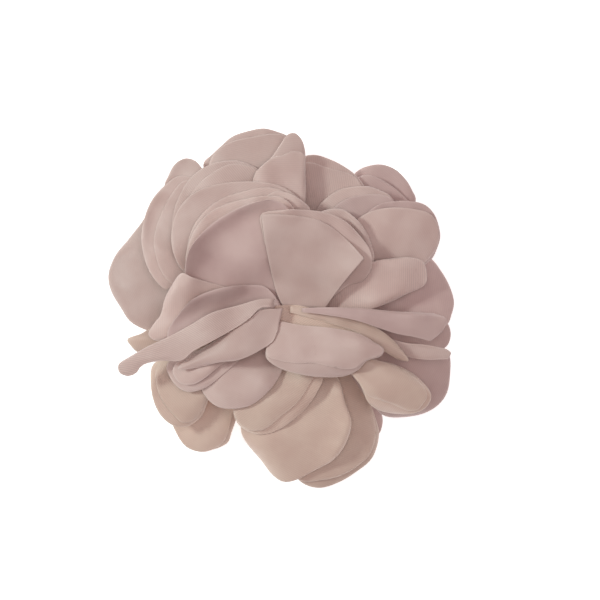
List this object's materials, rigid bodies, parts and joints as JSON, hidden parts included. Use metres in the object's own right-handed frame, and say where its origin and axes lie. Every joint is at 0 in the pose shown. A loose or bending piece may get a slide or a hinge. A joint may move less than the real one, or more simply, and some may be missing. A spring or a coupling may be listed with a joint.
{
  "type": "flower hair clip",
  "caption": "Layered satin petals gathered on a felt-backed base, glued to a spring-loaded alligator clip that opens about a hinge pin.",
  "frame": {"origin": "under the middle of the flower, in the plane of the lower clip arm's flat underside", "axes": "+Z is the way the flower faces, +X runs from the jaw tip to the thumb levers, +Y is the top of the flower"},
  "size_m": [0.1043, 0.1083, 0.0386],
  "materials": {
    "satin_pink": "dusty pink ribbed satin, soft sheen",
    "satin_beige": "warm beige-pink ribbed satin, soft sheen",
    "satin_mauve": "mauve-brown ribbed satin, soft sheen",
    "felt": "pressed wool-look felt, matt",
    "glue": "set hot-melt glue",
    "buckram": "stiffened open weave",
    "thread": "wound polyester thread",
    "ribbon": "grosgrain ribbon with cross ribs",
    "clip_steel": "nickel-plated pressed steel",
    "spring_steel": "drawn spring wire"
  },
  "bodies": {
    "flower_and_upper_arm": {"clip_upper_arm": "clip_steel", "hinge_pin": "clip_steel", "torsion_spring": "spring_steel", "felt_keeper": "felt", "glue_pad": "glue", "felt_backing": "felt", "base_disc": "buckram", "stitched_core": "thread", "petal_low_right_back": "satin_mauve", "petal_low_left": "satin_beige", "petal_low_right": "satin_beige", "petal_left": "satin_pink", "petal_top_right_back": "satin_mauve", "petal_top_right": "satin_mauve", "petal_top": "satin_pink", "petal_top_left_back": "satin_pink", "petal_top_left_front": "satin_pink", "petal_upper_left": "satin_pink", "petal_right_low_back": "satin_mauve", "petal_right_narrow": "satin_mauve", "petal_right": "satin_mauve", "petal_upper_right_outer": "satin_pink", "petal_upper_right_inner": "satin_mauve", "petal_right_high_back": "satin_mauve", "petal_right_high_front": "satin_pink", "petal_bottom": "satin_beige", "petal_low_left_front": "satin_beige", "petal_left_high": "satin_pink", "petal_right_low_front": "satin_beige", "petal_upper_left_ply_1": "satin_pink", "petal_top_pocket": "satin_pink", "petal_upper_left_ply_2": "satin_pink", "petal_upper_left_ply_3": "satin_pink", "petal_top_crescent_outer": "satin_pink", "petal_upper_left_ply_4": "satin_pink", "petal_top_crescent_inner": "satin_pink", "petal_centre_dish": "satin_mauve", "petal_centre_right_rim": "satin_pink", "petal_right_ribbed": "satin_pink", "petal_fan_back": "satin_pink", "petal_fan": "satin_pink", "petal_lower_mid": "satin_beige", "petal_lower_left_broad": "satin_pink", "petal_left_tip_back": "satin_beige", "petal_left_shoulder": "satin_pink", "petal_left_cup": "satin_mauve", "petal_lower_left_outer": "satin_pink", "petal_lower_left_inner": "satin_pink", "petal_right_strip": "satin_pink", "petal_centre_right_bright": "satin_beige", "petal_right_fold": "satin_beige", "petal_right_top": "satin_mauve", "petal_front_centre": "satin_pink", "petal_front_left": "satin_pink", "petal_front_long_left": "satin_pink"},
    "lower_arm": {"clip_lower_arm": "clip_steel", "ribbon_lining": "ribbon"}
  },
  "joints": [
    {"name": "jaw_hinge", "type": "hinge", "parent": "flower_and_upper_arm", "child": "lower_arm", "pos_m": [0.018, 0, 0.00275], "axis": [0, -1, 0], "range_deg": [0, 20], "stiffness_Nm_per_rad": 0.3, "springref_deg": -28.65, "deforming": ["torsion_spring"]}
  ]
}
